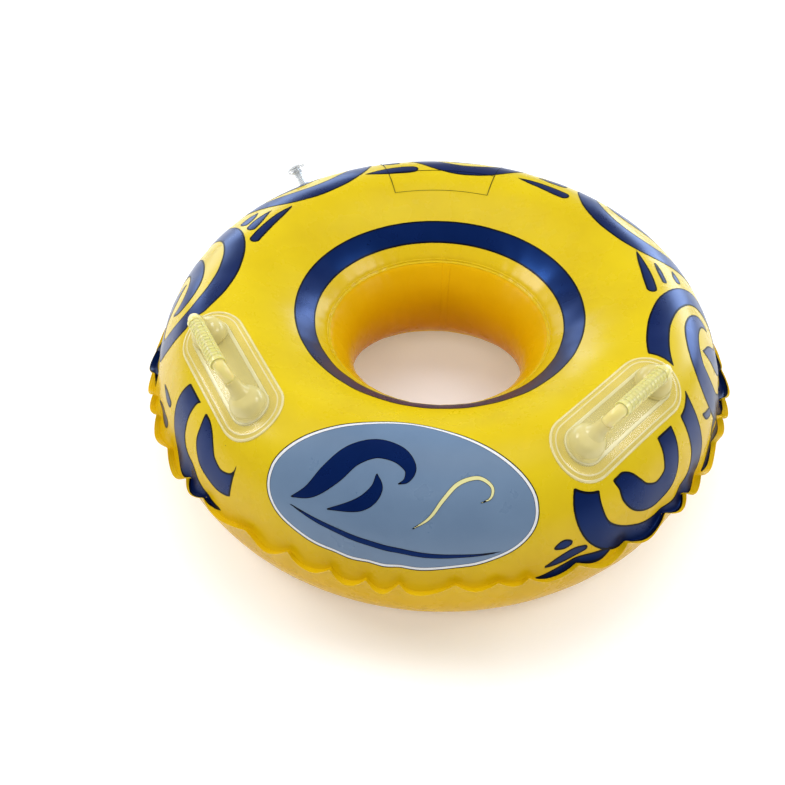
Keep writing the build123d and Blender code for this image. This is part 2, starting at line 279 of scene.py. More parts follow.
def graded(start, end, steps):
    """Distances from start to end. Each step is (until, size): the spacing up to that distance."""
    out, at = [start], 0.0
    length = end - start
    for until, size in steps:
        until = min(until, length)
        count = max(1, round((until - at) / size))
        out += [start + at + (until - at) * (k + 1) / count for k in range(count)]
        at = until
    return out


def panel(name, distances, materials):
    """One film panel as a thin closed shell."""
    outside = [(s, 0.0) for s in distances]
    inside = [(s, -FILM) for s in reversed(distances)]
    return ring_of(name, outside + inside, materials, columns=PANEL_COLUMNS)


# Prints: flat shapes on the film, cut out of a grid where a field of signed distances is below 0 ------

PRINT_STEP = 0.0026
PRINT_LIFT = 0.00032
PRINT_SINK = -0.00006
LINE = 0.0027
PANEL_LIFT = 0.0005
NOTICE_LIFT = 0.00065
MOTIF_LIFT = 0.0008
MOTIF_STEP = 0.0019


def spline(points, count=110):
    """A smooth curve through given points, whose columns may hold more than a place."""
    p = np.array(points, float)
    p = np.vstack([2 * p[0] - p[1], p, 2 * p[-1] - p[-2]])
    t = np.linspace(0, len(p) - 3 - 1e-9, count)
    i = t.astype(int)
    u = (t - i)[:, None]
    a, b, c, d = p[i], p[i + 1], p[i + 2], p[i + 3]
    square, cube = 2 * a - 5 * b + 4 * c - d, 3 * b - a - 3 * c + d
    return 0.5 * (2 * b + (c - a) * u + square * u**2 + cube * u**3)


def stroke_field(az, s, curve):
    """Signed distance from a stroke. Its columns are azimuth, distance along the section, half width."""
    best = np.full(az.shape, 1.0)
    radius = section(np.clip(curve[:, 1], 0, TOTAL))[0]
    for a, b, r in zip(curve, curve[1:], radius):
        px, py = (az - a[0]) * r, s - a[1]
        dx, dy = (b[0] - a[0]) * r, b[1] - a[1]
        t = np.clip((px * dx + py * dy) / max(dx * dx + dy * dy, 1e-12), 0, 1)
        best = np.minimum(best, np.hypot(px - t * dx, py - t * dy) - (a[2] + t * (b[2] - a[2])))
    return best


def clip(polygon, values, level, below):
    """The part of a convex polygon where a value is below, or not below, a level."""
    out, kept = [], []
    sign = 1 if below else -1
    for k in range(len(polygon)):
        p, q = polygon[k - 1], polygon[k]
        fp, fq = sign * (values[k - 1] - level), sign * (values[k] - level)
        if (fp < 0) != (fq < 0):
            t = fp / (fp - fq)
            out.append(tuple(a + t * (b - a) for a, b in zip(p, q)))
            kept.append(values[k - 1] + t * (values[k] - values[k - 1]))
        if fq < 0:
            out.append(q)
            kept.append(values[k])
    return out, kept


def print_piece(name, field, span, materials, lift=PRINT_LIFT, line=LINE, step=PRINT_STEP):
    """A thin print where the field is below 0: the first material, with a border of the second."""
    az0, az1, s0, s1 = span
    columns = max(2, round((az1 - az0) * MEAN_RADIUS / step)) + 1
    rows = max(2, round((s1 - s0) / step)) + 1
    us, vs = np.linspace(az0, az1, columns), np.linspace(s0, s1, rows)
    az, s = np.meshgrid(us, vs)
    values = field(az, s)
    places, index, faces, slots = [], {}, [], []

    def place(p):
        key = (round(p[0] * 1e7), round(p[1] * 1e7))
        if key not in index:
            index[key] = len(places)
            places.append(p)
        return index[key]

    def add(polygon, slot):
        face = [place(p) for p in polygon]
        face = [v for k, v in enumerate(face) if v != face[k - 1]]
        if len(face) > 2:
            faces.append(face)
            slots.append(slot)

    corner = np.stack([values[:-1, :-1], values[:-1, 1:], values[1:, 1:], values[1:, :-1]])
    for i, j in zip(*np.nonzero(corner.min(axis=0) < 0)):
        polygon = [(us[j], vs[i]), (us[j + 1], vs[i]), (us[j + 1], vs[i + 1]), (us[j], vs[i + 1])]
        held = list(corner[:, i, j])
        if max(held) >= 0:
            polygon, held = clip(polygon, held, 0.0, True)
        if not polygon:
            continue
        if max(held) < -line:
            add(polygon, 0)
        elif min(held) >= -line:
            add(polygon, 1)
        else:
            add(clip(polygon, held, -line, True)[0], 0)
            add(clip(polygon, held, -line, False)[0], 1)
    flat = np.array(places)
    top = over_film(flat[:, 0], flat[:, 1], np.full(len(flat), lift))
    bottom = over_film(flat[:, 0], flat[:, 1], np.full(len(flat), PRINT_SINK))
    points, faces, slots = closed(top, bottom, faces, slots)
    return add_mesh(name, points, faces, materials, slots=slots)


def closed(top, bottom, faces, slots):
    """A patch of faces over its copy below, joined along its border."""
    count = len(top)
    edges = {(face[k - 1], face[k]): slot for face, slot in zip(faces, slots) for k in range(len(face))}
    rim = [(a, b, slot) for (a, b), slot in edges.items() if (b, a) not in edges]
    sides = [[b, a, a + count, b + count] for a, b, _ in rim]
    below = [[v + count for v in reversed(face)] for face in faces]
    return np.vstack([top, bottom]), faces + below + sides, slots + slots + [slot for _, _, slot in rim]


# Materials ----------------------------------------------------------------------------------------

# Scales of the noises in a vinyl finish, and the depths of its grain and of its wrinkles in metres.
DRIFT_SCALE, SCUFF_SCALE, GRAIN_SCALE, SWELL_SCALE = 7, 22, 420, 14
FINE_GRAIN, SOFT_GRAIN = 0.000007, 0.000015
SOFT_SWELL, SMALL_SWELL = 0.0003, 0.0002
# Heights between which the painted shade in the film's colour fades out going up, and between which its
# gloss changes.
PAINTED_SHADE_HEIGHTS = (0.10, 0.27)
GLOSS_HEIGHTS = (0.10, 0.25)
PVC_IOR = 1.5


def add_noise(tree, coords, scale, detail, roughness=0.5):
    noise = tree.nodes.new("ShaderNodeTexNoise")
    noise.inputs["Scale"].default_value = scale
    noise.inputs["Detail"].default_value = detail
    noise.inputs["Roughness"].default_value = roughness
    tree.links.new(coords.outputs["Object"], noise.inputs["Vector"])
    return noise.outputs["Fac"]


def add_ramp(tree, source, stops):
    ramp = tree.nodes.new("ShaderNodeValToRGB")
    for element, (position, colour) in zip(ramp.color_ramp.elements, (stops[0], stops[-1])):
        element.position, element.color = position, (*colour, 1)
    for position, colour in stops[1:-1]:
        ramp.color_ramp.elements.new(position).color = (*colour, 1)
    tree.links.new(source, ramp.inputs["Fac"])
    return ramp.outputs["Color"]


def add_range(tree, source, low, high, start=0.3, end=0.7):
    mapped = tree.nodes.new("ShaderNodeMapRange")
    for socket, value in zip(("From Min", "From Max", "To Min", "To Max"), (start, end, low, high)):
        mapped.inputs[socket].default_value = value
    tree.links.new(source, mapped.inputs["Value"])
    return mapped.outputs["Result"]


def add_bump(tree, height, distance, under=None):
    bump = tree.nodes.new("ShaderNodeBump")
    bump.inputs["Distance"].default_value = distance
    bump.inputs["Strength"].default_value = 1.0
    tree.links.new(height, bump.inputs["Height"])
    if under:
        tree.links.new(under, bump.inputs["Normal"])
    return bump.outputs["Normal"]


def plastic(
    name, stops, rough, grain=FINE_GRAIN, swell=SOFT_SWELL, sockets=(), painted_shade_stops=None, gloss=None
):
    """A vinyl finish: broad drifts of colour, patches of scuffed gloss, fine grain and soft wrinkles.

    Where it has painted shade stops, its colour drifts to them as painted shade from the shoulder of the
    ring down to the floor, and the specular level goes from the first value of gloss on the underside to
    the second on top.
    """
    material = bpy.data.materials.new(name)
    material.use_nodes = True
    tree = material.node_tree
    shader = tree.nodes["Principled BSDF"]
    coords = tree.nodes.new("ShaderNodeTexCoord")
    drift = add_noise(tree, coords, DRIFT_SCALE, 5, 0.6)
    colour = add_ramp(tree, drift, stops)
    # Painted shade: from the shoulder down to the floor the colour blends to the darker painted shade
    # stops.
    if painted_shade_stops:
        split = tree.nodes.new("ShaderNodeSeparateXYZ")
        tree.links.new(coords.outputs["Object"], split.inputs["Vector"])
        mix = tree.nodes.new("ShaderNodeMix")
        mix.data_type = "RGBA"
        tree.links.new(add_range(tree, split.outputs["Z"], 0, 1, *PAINTED_SHADE_HEIGHTS), mix.inputs["Factor"])
        tree.links.new(add_ramp(tree, drift, painted_shade_stops), mix.inputs["A"])
        tree.links.new(colour, mix.inputs["B"])
        colour = mix.outputs["Result"]
        dull = add_range(tree, split.outputs["Z"], *gloss, *GLOSS_HEIGHTS)
        tree.links.new(dull, shader.inputs["Specular IOR Level"])
    tree.links.new(colour, shader.inputs["Base Color"])
    scuffs = add_noise(tree, coords, SCUFF_SCALE, 5, 0.55)
    tree.links.new(add_range(tree, scuffs, *rough), shader.inputs["Roughness"])
    fine = add_bump(tree, add_noise(tree, coords, GRAIN_SCALE, 1), grain)
    normal = add_bump(tree, add_noise(tree, coords, SWELL_SCALE, 1), swell, under=fine)
    tree.links.new(normal, shader.inputs["Normal"])
    for socket, value in sockets:
        shader.inputs[socket].default_value = value
    return material


# Painted shade: the yellow film's stops turn darker and more amber from the shoulder of the ring down to
# the floor.
YELLOW = plastic(
    "yellow_film",
    [(0.3, (0.62, 0.445, 0.002)), (0.5, (0.66, 0.485, 0.003)), (0.72, (0.70, 0.525, 0.004))],
    (0.24, 0.31),
    painted_shade_stops=[(0.3, (0.62, 0.355, 0.001)), (0.5, (0.66, 0.39, 0.002)), (0.72, (0.70, 0.425, 0.003))],
    gloss=(0.05, 0.36),
)
# Painted shade and bounce light: the hole's wall is the same yellow film, drawn more orange than the
# top, and a darker orange lower down.
HOLE_SHADED_FILM = plastic(
    "yellow_film_with_hole_shade",
    [(0.3, (0.68, 0.42, 0.001)), (0.5, (0.72, 0.455, 0.002)), (0.72, (0.76, 0.49, 0.003))],
    (0.24, 0.31),
    painted_shade_stops=[(0.3, (0.56, 0.215, 0.001)), (0.5, (0.60, 0.24, 0.001)), (0.72, (0.64, 0.27, 0.002))],
    gloss=(0.02, 0.06),
)
# Painted shade: the blue print turns a darker navy from the shoulder of the ring down to the floor.
BLUE = plastic(
    "blue_print",
    [(0.3, (0.0014, 0.0058, 0.044)), (0.5, (0.0022, 0.0080, 0.058)), (0.7, (0.0032, 0.0108, 0.074))],
    (0.25, 0.34),
    painted_shade_stops=[
        (0.3, (0.0008, 0.0036, 0.028)),
        (0.5, (0.0012, 0.0050, 0.036)),
        (0.7, (0.0018, 0.0068, 0.046)),
    ],
    gloss=(0.15, 0.90),
    sockets=[("Specular Tint", (0.04, 0.24, 1.0, 1.0))],
)
INK = plastic(
    "dark_outline",
    [(0.3, (0.001, 0.001, 0.004)), (0.7, (0.002, 0.003, 0.007))],
    (0.28, 0.42),
    sockets=[("Specular IOR Level", 0.14)],
)
NAVY = plastic("navy_print", [(0.3, (0.004, 0.008, 0.04)), (0.7, (0.007, 0.013, 0.055))], (0.25, 0.4))
WHITE = plastic("white_print", [(0.3, (0.70, 0.71, 0.72)), (0.7, (0.78, 0.79, 0.80))], (0.2, 0.32))
STEEL = plastic(
    "blue_grey_print",
    [(0.3, (0.115, 0.185, 0.295)), (0.7, (0.145, 0.225, 0.345))],
    (0.25, 0.38),
)
CREAM = plastic(
    "pale_yellow_print",
    [(0.3, (0.66, 0.63, 0.28)), (0.7, (0.74, 0.70, 0.34))],
    (0.2, 0.32),
)
HANDLE_PVC = plastic(
    "handle_pvc",
    [(0.3, (0.72, 0.62, 0.21)), (0.5, (0.77, 0.67, 0.26)), (0.7, (0.82, 0.73, 0.32))],
    (0.16, 0.3),
    grain=SOFT_GRAIN,
    swell=SMALL_SWELL,
    sockets=[
        ("IOR", PVC_IOR),
        ("Subsurface Weight", 0.6),
        ("Subsurface Radius", (0.02, 0.016, 0.006)),
        ("Subsurface Scale", 0.5),
    ],
)
BOOT_PVC = plastic(
    "boot_pvc",
    [(0.3, (0.80, 0.68, 0.24)), (0.5, (0.85, 0.74, 0.30)), (0.7, (0.90, 0.80, 0.37))],
    (0.14, 0.26),
    grain=SOFT_GRAIN,
    swell=SMALL_SWELL,
    sockets=[("Alpha", 0.62), ("IOR", PVC_IOR)],
)
PATCH_PVC = plastic(
    "patch_pvc",
    [(0.3, (0.84, 0.75, 0.27)), (0.5, (0.88, 0.80, 0.34)), (0.7, (0.92, 0.85, 0.42))],
    (0.10, 0.2),
    grain=SOFT_GRAIN,
    swell=SMALL_SWELL,
    sockets=[("Alpha", 0.33), ("IOR", PVC_IOR)],
)
RIM_PVC = plastic(
    "rim_pvc",
    [(0.3, (0.86, 0.80, 0.44)), (0.7, (0.93, 0.88, 0.56))],
    (0.08, 0.18),
    grain=SOFT_GRAIN,
    swell=SMALL_SWELL,
    sockets=[("Alpha", 0.62), ("IOR", PVC_IOR)],
)
CLEAR = plastic(
    "clear_pvc",
    [(0.3, (0.76, 0.78, 0.79)), (0.7, (0.85, 0.86, 0.87))],
    (0.06, 0.16),
    swell=0.0001,
    sockets=[("Transmission Weight", 0.8), ("IOR", PVC_IOR)],
)


# Film panels and welds ----------------------------------------------------------------------------

def stands_for(piece, record_slot, *nodes):
    if nodes:
        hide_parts(*nodes)
    return piece


# Rows are close together at the puckers and the welds, and wide apart between them.
top_steps = [(0.02, 0.0015), (0.06, 0.0036), (0.34, 0.0085), (1.0, 0.0021)]
top_rows = graded(0.0, UPPER_INNER_SEAM, top_steps)
wall_half = graded(UPPER_INNER_SEAM, TOTAL / 2, [(0.03, 0.0018), (1.0, 0.006)])
wall_rows = wall_half + [TOTAL - s for s in reversed(wall_half[:-1])]


CUTTER_HALF_DEPTH = 0.012
CUTTER_SIDES = 64


def valve_seat():
    """The middle of the valve's flange and the direction that it faces, as in the CAD model."""
    centre_r, centre_z, radius = (float(v) for v in ARCS[0][:3])
    outward = Vector((cos(VALVE_NORMAL), 0, sin(VALVE_NORMAL)))
    spot = Vector((centre_r, 0, MID_HEIGHT + centre_z)) + radius * outward
    turn = Matrix.Rotation(VALVE_AZIMUTH, 3, "Z")
    return turn @ spot, turn @ outward


def cut_valve_hole(piece):
    """Opens a piece under the valve's flange, if it reaches there."""
    spot, outward = valve_seat()
    if min((vertex.co - spot).length for vertex in piece.data.vertices) > VALVE_HOLE:
        return
    mesh = bpy.data.meshes.new("cutter")
    angles = np.linspace(0, 2 * pi, CUTTER_SIDES, endpoint=False)
    depths = (-CUTTER_HALF_DEPTH, CUTTER_HALF_DEPTH)
    rings = [(VALVE_HOLE * cos(a), VALVE_HOLE * sin(a), z) for z in depths for a in angles]
    ends = [list(reversed(range(CUTTER_SIDES))), list(range(CUTTER_SIDES, 2 * CUTTER_SIDES))]
    mesh.from_pydata(rings, [], grid_faces(2, CUTTER_SIDES) + ends)
    mesh.transform(Matrix.Translation(spot) @ outward.to_track_quat("Z", "Y").to_matrix().to_4x4())
    cutter = bpy.data.objects.new("cutter", mesh)
    bpy.context.collection.objects.link(cutter)
    cut = piece.modifiers.new("hole", "BOOLEAN")
    cut.object, cut.operation, cut.solver = cutter, "DIFFERENCE", "EXACT"
    bpy.context.view_layer.update()
    whole = piece.evaluated_get(bpy.context.evaluated_depsgraph_get())
    piece.data = bpy.data.meshes.new_from_object(whole)
    piece.modifiers.clear()
    bpy.data.objects.remove(cutter)


top_film = panel("top_film", top_rows, [YELLOW])
cut_valve_hole(top_film)
stands_for(top_film, "yellow_film", "top_panel")
# The hole's wall takes the same yellow film, with painted shade and bounce light in its colour.
stands_for(panel("wall_film", wall_rows, [HOLE_SHADED_FILM]), "yellow_film", "inner_wall_strip")
bottom_rows = [TOTAL - s for s in reversed(top_rows)]
stands_for(panel("bottom_film", bottom_rows, [YELLOW]), "yellow_film", "bottom_panel")


def flange_rows():
    """Rows of the outer seam's flat flange, out over its top and back along its underside."""
    out = [(0.0008, -0.0004)] + [(-d, 0.0) for d in (0.0006, 0.0014, 0.0024)]
    out += [(-0.0030, -0.00022), (-0.0034, -0.00022), (-0.0040, 0.0), (-0.0056, 0.0)]
    out += [(-0.0062, -0.00022), (-0.0066, -0.00022), (-0.0072, 0.0), (-0.0081, -0.00005)]
    out.append((-0.0086, -0.0004))
    return out + [(TOTAL - s, lift) for s, lift in reversed(out)]


flange = ring_of("outer_seam_flange", flange_rows(), [YELLOW], columns=FLANGE_COLUMNS)
stands_for(flange, "welded_film", "outer_weld_seam")


def weld_rows(centre):
    """Two fine ridges with a pressed line between them."""
    half = [(-0.0036, -0.0003), (-0.0034, 0.0003), (-0.0026, 0.0007), (-0.0017, 0.0007)]
    half.append((-0.0010, 0.0002))
    top = [(centre + x, lift) for x, lift in half] + [(centre - x, lift) for x, lift in reversed(half)]
    return top + [(centre + 0.0020, -0.0004), (centre - 0.0020, -0.0004)]


for seam_name, node, centre in (
    ("upper_inner_weld", "upper_inner_weld_seam", UPPER_INNER_SEAM),
    ("lower_inner_weld", "lower_inner_weld_seam", LOWER_INNER_SEAM),
):
    stands_for(ring_of(seam_name, weld_rows(centre), [YELLOW]), "welded_film", node)


LAP_HALF_WIDTH = 0.005


def lap_seam():
    """The faint step where the wall strip's ends lap."""
    half = LAP_HALF_WIDTH / WALL_RADIUS
    profile = [(-half, -0.0003), (-half * 0.98, 0.0004), (-half * 0.9, 0.0006)]
    profile += [(-x, lift) for x, lift in reversed(profile)]
    s = np.linspace(UPPER_INNER_SEAM + 0.0038, LOWER_INNER_SEAM - 0.0038, 60)
    az = LAP_AZIMUTH + np.array([p[0] for p in profile])
    lift = np.broadcast_to(np.array([p[1] for p in profile])[None, :], (len(s), len(az)))
    points = over_film(az[None, :], s[:, None], lift)
    count, width = lift.shape
    faces = grid_faces(count, width)
    faces += [list(reversed(range(width))), [(count - 1) * width + k for k in range(width)]]
    # The lap takes the wall's film colour, with its painted shade and bounce light.
    return add_mesh("wall_lap_weld", points, faces, [HOLE_SHADED_FILM])


stands_for(lap_seam(), "welded_film", "wall_lap_seam")


# Prints -------------------------------------------------------------------------------------------

# Waves round the ring: azimuth of the middle in degrees, and how wide the wave is drawn.
UNITS = [(-137, 1), (-47, 1), (-4, 1), (41.5, 1), (91, 0.8), (136, 1), (181, 1)]
# The waves on both sides of the front panel.
BEFORE_FRONT, AFTER_FRONT = -137, -47

# Strokes of one wave: degrees from its middle, millimetres from the outer seam and half width in
# millimetres.
HEAD = [(-0.5, 119, 0.3), (0.6, 107, 7), (2.0, 92, 15), (3, 76, 20), (5, 59, 20), (9, 49, 18)]
HEAD += [(13.2, 60, 17), (14.8, 84, 17), (15.3, 110, 17), (15, 135, 17)]
CREST = [(13, 160, 17), (8.5, 183, 17), (2.5, 195, 16.5), (-3, 197, 16.5), (-9, 191, 17)]
CREST += [(-14, 176, 17.5), (-17, 155, 18), (-18.5, 125, 18), (-18.8, 95, 18), (-19, 65, 18)]
CREST += [(-19.5, 44, 18.5), (-21.5, 25, 17), (-25.5, 12, 13), (-30.5, 5, 10)]
HOOK = [(8, 4, 11), (1, 12, 15), (-3.5, 28, 18.5), (-6, 47, 20), (-7.3, 75, 21), (-7.3, 100, 20)]
HOOK += [(-6, 122, 17), (-2.5, 138, 15), (2, 144, 14.5), (6, 138, 13), (8.3, 124, 10)]
HOOK += [(8.5, 110, 5), (8, 100, 0.4)]

# Loose drops beside the waves, as strokes in degrees of azimuth and the same millimetres.
DROPS = [
    [(27, 198, 0.5), (22, 202, 5), (15, 204, 8), (10, 204, 8)],
    [(22, 181, 0.5), (18, 181, 4), (13.5, 180, 4)],
    [(19.5, 154, 0.5), (17, 154, 5), (15.2, 153, 5)],
    [(74, 194, 0.5), (69, 196, 6), (62, 197, 9), (58.5, 197, 9)],
    [(69.5, 166, 0.5), (65.5, 164, 8), (62.5, 162, 9)],
    [(120, 195, 0.5), (114, 197, 8), (108, 198, 11), (105.5, 198, 10)],
    [(113.5, 161, 0.5), (111, 161, 8), (109.5, 161, 8)],
    [(146, 206, 0.5), (152, 208, 6), (160, 209, 8), (165.5, 209, 8)],
    [(151.5, 187, 0.5), (157, 188, 7), (161, 189, 8)],
    [(153.5, 169, 0.5), (156.5, 169, 7), (159.3, 169, 8)],
    [(-156, 61, 0.5), (-152.5, 60, 6), (-150, 60, 6)],
    [(-157, 22, 0.5), (-153, 24, 8), (-150, 25, 9)],
    [(-18, 79, 0.5), (-16.5, 68, 6), (-14.5, 62, 7)],
    [(-14.5, 18, 2), (-12.5, 28, 8), (-9, 36, 10)],
]
for base in (-47, 41.5, 136, 181):
    DROPS.append([(base - 14.4, 42, 3.5), (base - 13, 43.5, 7.5), (base - 11.9, 43, 5.5)])
    DROPS.append([(base - 16.6, 16, 1.5), (base - 14, 20, 6), (base - 11, 24, 8), (base - 8.8, 26, 5)])
for base in (-47, -4, 41.5, 136, 181):
    tail = [(base - 19, 0, 0.5), (base - 15.5, 3, 5), (base - 11, 6, 6.5)]
    DROPS.append(tail + [(base - 6, 8.5, 6), (base - 2.5, 10, 1)])


def stroke(points, centre=0.0, scale=1.0):
    return [(radians(centre + scale * x), s / 1000, half / 1000) for x, s, half in points]


def patch_field(az, s):
    """Signed distance from the handles' patches."""
    best = np.full(np.broadcast(az, s).shape, 1.0)
    for side in (0, 1):
        turned = az if side == 0 else pi - az
        turned = np.angle(np.exp(1j * (turned - HANDLE_AZIMUTH))) + HANDLE_AZIMUTH
        p = film(turned, s) - HANDLE[0]
        x, y, up = p @ HANDLE[1], p @ HANDLE[2], p @ HANDLE[3]
        away = np.hypot(np.maximum(np.abs(x) - SOCKET_REACH, 0), y) - PATCH_RADIUS
        best = np.minimum(best, np.where(up > -0.08, away, 1.0))
    return best


FRONT_AZIMUTH, FRONT_HALF, FRONT_RADIUS = radians(-95.75), radians(28.75), 0.37
PATCH_GAP = 0.008
PRINT_START = -0.0084


def front_field(az):
    """Signed distance from the stretch kept for the front panel, positive outside it."""
    return (np.abs(np.angle(np.exp(1j * (az - FRONT_AZIMUTH)))) - FRONT_HALF) * FRONT_RADIUS


def wave_print(name, strokes):
    """One blue print of strokes, which keeps clear of the patches, the front panel and the valve."""
    curves = [spline(points) for points in strokes]
    every = np.vstack(curves)
    az0, az1 = every[:, 0].min() - 0.08, every[:, 0].max() + 0.08
    span = (az0, az1, PRINT_START, every[:, 1].max() + 0.03)

    def field(az, s):
        best = np.full(az.shape, 1.0)
        for curve in curves:
            best = np.minimum(best, stroke_field(az, s, curve))
        best = np.maximum(best, PATCH_GAP - patch_field(az, s))
        return np.maximum(best, -front_field(az))

    piece = print_piece(name, field, span, [BLUE, INK])
    cut_valve_hole(piece)


def place_prints():
    """Each wave's crest runs on into the hook of the wave before it, except at the front panel."""
    waves = []
    for index, (centre, scale) in enumerate(UNITS):
        if centre == BEFORE_FRONT:
            waves.append(("wave", stroke(HEAD + CREST[:1], centre, scale)))
            continue
        if centre == AFTER_FRONT:
            blunt = [(-1.2, 113, 0.5), (0.3, 104, 8)] + HEAD[2:]
            waves.append(("wave", stroke(blunt + CREST[:1], centre, scale)))
            continue
        before, before_scale = UNITS[index - 1]
        hook = HOOK[:-4] if before == AFTER_FRONT else HOOK
        waves.append(("wave", stroke(HEAD + CREST, centre, scale) + stroke(hook, before, before_scale)))
    last = UNITS[-1][0]
    waves.append(("hook", stroke([(16, 6, 0.5), (9, -1, 9)] + HOOK[1:], last)))
    waves.append(("hook", stroke([(11, 6, 0.5), (6, 0, 8)] + HOOK[1:], BEFORE_FRONT)))
    for index, (kind, points) in enumerate(waves):
        wave_print(f"{kind}_print_{index}", [points])
    for index, drop in enumerate(DROPS):
        wave_print(f"drop_print_{index}", [stroke(drop)])


place_prints()


RING_START, RING_END = 0.30605, 0.3428


def ring_print():
    """The plain blue ring round the hole, with its dark edges."""
    stripes = [
        ("hole_ring_print", graded(RING_START + LINE, RING_END - LINE, [(1.0, 0.004)]), BLUE),
        ("hole_ring_edge_outer", [RING_START, RING_START + LINE], INK),
        ("hole_ring_edge_inner", [RING_END - LINE, RING_END], INK),
    ]
    for name, stripe, material in stripes:
        rows = [(s, PRINT_LIFT) for s in stripe] + [(s, PRINT_SINK) for s in reversed(stripe)]
        ring_of(name, rows, [material])


ring_print()


# Front panel print --------------------------------------------------------------------------------

OVAL_DEGREES = -90.7
OVAL_AZIMUTH, OVAL_HALF = radians(OVAL_DEGREES), radians(26.7)
# Its widest line, how far it reaches towards the hole and towards the outer seam, and how square it is.
OVAL_MIDDLE, OVAL_UP, OVAL_DOWN = 0.115, 0.127, 0.087
OVAL_POWER_UP, OVAL_POWER_DOWN = 1.75, 2.5
OVAL_BORDER = 0.0052
MOTIF_MARGIN = 0.0085


def oval_field(az, s):
    """Signed distance from the front panel's outline, a rounded oval that is squarer below."""
    x = np.abs(az - OVAL_AZIMUTH) / OVAL_HALF
    up = s > OVAL_MIDDLE
    height = np.where(up, OVAL_UP, OVAL_DOWN)
    y = np.abs(s - OVAL_MIDDLE) / height
    power = np.where(up, OVAL_POWER_UP, OVAL_POWER_DOWN)
    x, y = np.maximum(x, 1e-6), np.maximum(y, 1e-6)
    value = (x**power + y**power) ** (1 / power)
    width = OVAL_HALF * section(np.clip(s, 0, TOTAL))[0]
    slope_x = (x / value) ** (power - 1) / width
    slope_y = (y / value) ** (power - 1) / height
    return (value - 1) / np.hypot(slope_x, slope_y)


def ground_field(az, s):
    return oval_field(az, s) + OVAL_BORDER


def front_panel():
    """The pale border and the blue-grey ground of the front panel."""
    span = (OVAL_AZIMUTH - 0.52, OVAL_AZIMUTH + 0.52, 0.02, 0.25)
    border = print_piece("front_panel_border", oval_field, span, [WHITE, INK], line=0.0015)
    ground = print_piece(
        "front_panel_ground", ground_field, span, [STEEL, NAVY], lift=PANEL_LIFT, line=0.0007
    )


front_panel()


def panel_strokes(name, strokes, materials, line=0.0009):
    """A print of strokes on the front panel's ground, kept inside its border."""
    curves = [spline(stroke(points, OVAL_DEGREES), 70) for points in strokes]
    every = np.vstack(curves)
    az0, az1 = every[:, 0].min() - 0.07, every[:, 0].max() + 0.07
    span = (az0, az1, every[:, 1].min() - 0.03, every[:, 1].max() + 0.03)

    def field(az, s):
        best = oval_field(az, s) + MOTIF_MARGIN
        inside = np.full(az.shape, 1.0)
        for curve in curves:
            inside = np.minimum(inside, stroke_field(az, s, curve))
        return np.maximum(best, inside)

    piece = print_piece(name, field, span, materials, lift=MOTIF_LIFT, line=line, step=MOTIF_STEP)


# Strokes of the motif: degrees from the panel's middle, millimetres, half width in millimetres.
BIG_WAVE = [(-20.5, 90, 1), (-17, 108, 9), (-14, 138, 15), (-11, 168, 15), (-6.5, 185, 14)]
BIG_WAVE += [(-1.5, 182, 12), (1.5, 166, 8), (1.2, 150, 4), (-0.5, 143, 0.6)]
LOW_WAVE = [(-13, 92, 1), (-7, 110, 9), (-4.5, 132, 8), (-5, 152, 0.8)]
SMALL_WAVE = [(3, 88, 0.8), (6, 104, 2.2), (8.5, 128, 2.8), (11.5, 148, 3), (15.5, 154, 2.8)]
SMALL_WAVE += [(18, 142, 2.4), (17.6, 128, 1.8), (15.4, 122, 0.6)]
SWOOSH = [(-20.5, 80, 0.6), (-14, 71, 3), (-4, 60, 4), (8, 52, 3.2), (20, 54, 0.5)]
panel_strokes("front_panel_wave", [BIG_WAVE, LOW_WAVE], [BLUE, INK])
panel_strokes("front_panel_outline_wave", [SMALL_WAVE], [CREAM, INK], line=0.0005)
panel_strokes("front_panel_swoosh", [SWOOSH], [BLUE, INK])


NOTICE_SPAN = (radians(80.5), radians(113), 0.012, 0.250)
NOTICE_RULE = 0.205
NOTICE_LINE_HALF = 0.0005
NOTICE_STEP = 0.0012


def label_frame():
    """The thin printed frame of the notice block at the back, with one rule and no text."""
    az0, az1, s0, s1 = NOTICE_SPAN

    def field(az, s):
        radius = section(np.clip(s, 0, TOTAL))[0]
        dx = (np.abs(az - (az0 + az1) / 2) - (az1 - az0) / 2) * radius
        dy = np.abs(s - (s0 + s1) / 2) - (s1 - s0) / 2
        box = np.maximum(dx, dy)
        line = np.where(dx < 0, np.abs(s - NOTICE_RULE), 1.0)
        return np.minimum(np.abs(box), line) - NOTICE_LINE_HALF

    span = (az0 - 0.02, az1 + 0.02, s0 - 0.004, s1 + 0.004)
    piece = print_piece(
        "notice_frame_print", field, span, [INK, INK], lift=NOTICE_LIFT, line=0.0, step=NOTICE_STEP
    )


label_frame()


# Handles ------------------------------------------------------------------------------------------


def stadium_turns(ends=18, straight=26):
    """Centre and angle of the points round a stadium, mirrored in its long axis."""
    turn = [(SOCKET_REACH, t) for t in np.linspace(0, pi / 2, ends)]
    turn += [(x, pi / 2) for x in np.linspace(SOCKET_REACH, -SOCKET_REACH, straight)[1:-1]]
    turn += [(-SOCKET_REACH, t) for t in np.linspace(pi / 2, pi, ends)]
    turn += [(x, -t) for x, t in reversed(turn[1:-1])]
    return np.array(turn)


# Distances from the long axis where the raised lines of the patch and of its plate run.
RIM_BANDS = [(0.0256, 0.0283), (0.0382, 0.0404), (0.0441, 0.0474)]
RIM_HEIGHT = 0.001


def end_cap(first, count):
    """Faces across a stadium's row of points, in strips from one end to the other."""
    half = count // 2
    cap = [[first, first + 1, first + count - 1]]
    for k in range(1, half - 1):
        cap.append([first + k, first + k + 1, first + count - k - 1, first + count - k])
    return cap + [[first + half - 1, first + half, first + half + 1]]


